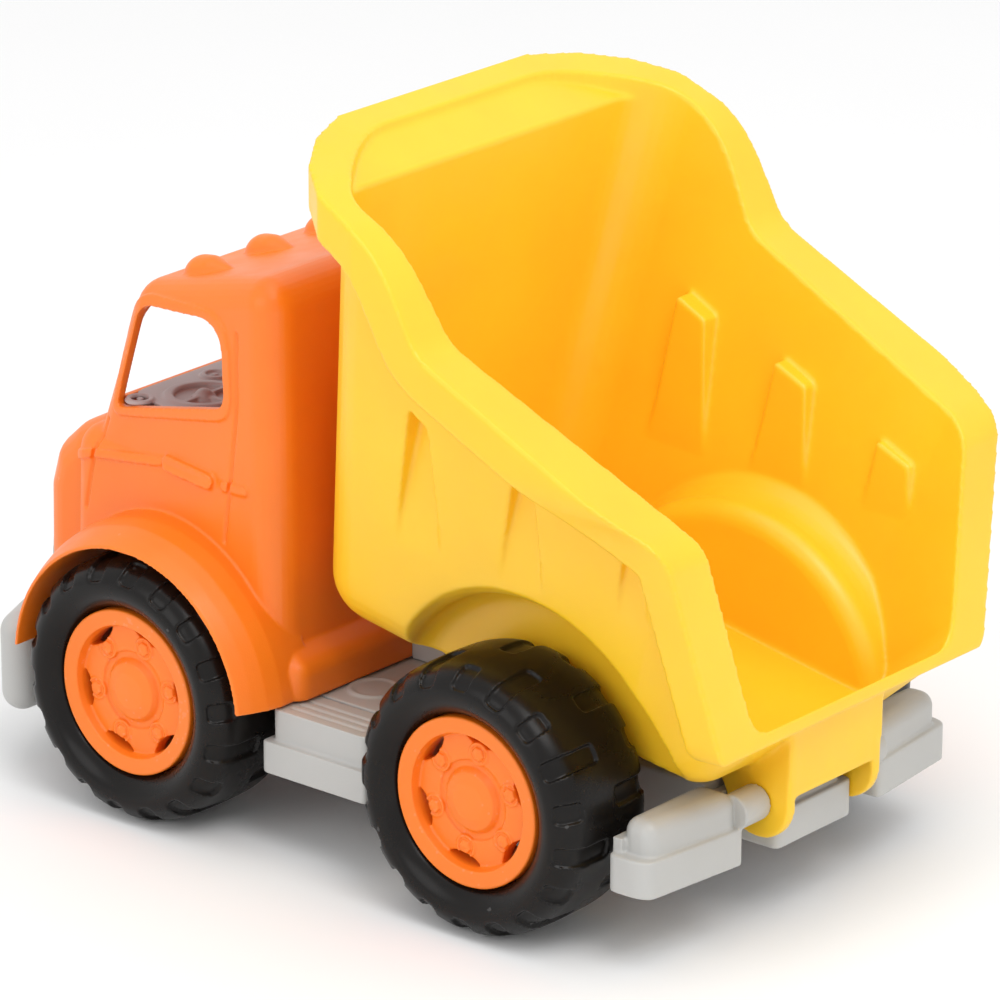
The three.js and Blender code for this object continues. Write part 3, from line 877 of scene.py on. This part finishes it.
def tyre():
    body = tyre_ring(0)
    for i in range(POCKET_COUNT):
        turn = 2 * math.pi * i / POCKET_COUNT
        outer, inner = (20, 8.5) if i % 2 else (8.5, 20)
        body = cut(body, turned_by(pocket(outer, 1), turn), turned_by(pocket(inner, -1), turn))
    return soften(join(body, tyre_ring(POCKET_DEPTH)), 0.5, 3, 0.6)


BOLT_CIRCLE = 16.6
RING_SECTION = [
    (3.0, HUB_FACE_Y - 6),
    (3.9, HUB_FACE_Y - 6),
    (3.9, HUB_FACE_Y - 3.4),
    (3.5, HUB_FACE_Y - 3),
    (3, HUB_FACE_Y - 3.4),
]
NUT_SECTION = [
    (0, HUB_FACE_Y - 6),
    (2.6, HUB_FACE_Y - 6),
    (2.4, HUB_FACE_Y - 2.7),
    (1.3, HUB_FACE_Y - 2.6),
    (0, HUB_FACE_Y - 2.2),
]


def hub():
    face = HUB_FACE_Y
    profile = [
        (2.45, 52),
        (7, 52),
        (7, face - 9),
        (25.5, face - 9),
        (25.5, 58),
        (HUB_RADIUS, 58),
        (HUB_RADIUS, face - 0.4),
        (HUB_RADIUS - 0.5, face),
        (23, face - 0.6),
        (22, face - 3.8),
        (13.6, face - 3.6),
        (13.2, face - 4.4),
        (11.2, face - 4.4),
        (10.6, face - 3.4),
        (9.6, face - 2.2),
        (6, face - 1.2),
        (0, face - 0.9),
        (0, 80.2),
        (2.45, 80.2),
    ]
    body = turned(profile)
    for i in range(6):
        turn = i * math.pi / 3
        ring = turned(RING_SECTION, BOLT_CIRCLE, 0, 48)
        nut = turned(NUT_SECTION, BOLT_CIRCLE, 0, 6)
        crescent = within(bar_y(0, 0, 22.3, face - 12, face - 1.5), bar_y(31, 0, 12, face - 13, face))
        body = join(body, turned_by(ring, turn), turned_by(nut, turn))
        body = cut(body, turned_by(crescent, turn + math.pi / 6 - math.pi / 2))
    return soften(body, 0.32, 3, 0.5)


def wheel(end, side, tyre_body, hub_body, x, tyre_turn, hub_turn):
    rides_on = f"{end}_wheels"
    facing = Matrix.Identity(4) if side == "left" else Matrix.Rotation(math.pi, 4, "Z")
    centre = Matrix.Translation((x, 0, AXLE_HEIGHT))
    for body, name, look, slot, turn in (
        (tyre_body, "tyre", BLACK, "tyre_plastic", tyre_turn),
        (hub_body, "hub", ORANGE, "orange_plastic", hub_turn),
    ):
        place = centre @ facing @ Matrix.Rotation(math.radians(turn), 4, "Y")
        dress(copy(body), f"{end}_{side}_{name}_skin", look, rides_on, f"{end}_{side}_{name}", place)


def wheels():
    tyre_body, hub_body = tyre(), hub()
    for end, x, tyre_turn, hub_turn in (("rear", 0, 0, 39.3), ("front", WHEELBASE, 5, 48.5)):
        for side in ("left", "right"):
            wheel(end, side, tyre_body, hub_body, x, -tyre_turn, -hub_turn)
        node = f"{end}_axle"
        dress(soften(from_cad(node), 0.3, 3), f"{node}_rod", STEEL, f"{end}_wheels", node)
    discard(tyre_body)
    discard(hub_body)


wheels()

# ---- Stage ---------------------------------------------------------------------------------

CAMERA_AZIMUTH = 220.068
CAMERA_ELEVATION = 19.894
CAMERA_DISTANCE = 2.066
CAMERA_LENS = 227.15
CAMERA_TARGET = Vector(((59.95 + REAR_AXLE_X) / 1000, 0, 0.10895))


def direction(azimuth, elevation):
    """From the target towards a viewer, who looks along +Y at azimuth 0."""
    a, e = math.radians(azimuth), math.radians(elevation)
    return Vector((math.sin(a) * math.cos(e), -math.cos(a) * math.cos(e), math.sin(e)))


def aim(thing, azimuth, elevation, distance):
    away = direction(azimuth, elevation)
    thing.location = CAMERA_TARGET + away * distance
    thing.rotation_euler = away.to_track_quat("Z", "Y").to_euler()
    bpy.context.scene.collection.objects.link(thing)
    return thing


def camera():
    data = bpy.data.cameras.new("camera")
    data.lens = CAMERA_LENS
    data.sensor_width = 36
    data.clip_end = 50
    bpy.context.scene.camera = aim(
        bpy.data.objects.new("camera", data), CAMERA_AZIMUTH, CAMERA_ELEVATION, CAMERA_DISTANCE
    )


# Name, azimuth and elevation in degrees, distance and size in metres, power in watts
LIGHTS = [
    ("key", 245, 55, 1.6, 0.9, 8),
    ("fill", 170, 25, 2.0, 1.2, 5),
    ("top", 200, 85, 1.6, 1.2, 3),
]


def soft_light(name, azimuth, elevation, distance, size, power):
    data = bpy.data.lights.new(name, "AREA")
    data.shape = "DISK"
    data.size = size
    data.energy = power
    aim(bpy.data.objects.new(name, data), azimuth, elevation, distance)


def floor():
    bm = bmesh.new()
    bmesh.ops.create_grid(bm, x_segments=24, y_segments=24, size=8)
    body = to_object(bm)
    body.name = "floor"
    body.data.materials.append(paper_floor("pale_floor"))


def world():
    sky = bpy.data.worlds.new("studio")
    sky.use_nodes = True
    background = sky.node_tree.nodes["Background"]
    background.inputs["Color"].default_value = (1, 1, 1, 1)
    background.inputs["Strength"].default_value = 0.9
    bpy.context.scene.world = sky


camera()
floor()
world()
for light in LIGHTS:
    soft_light(*light)
bpy.context.scene.view_settings.view_transform = "Standard"
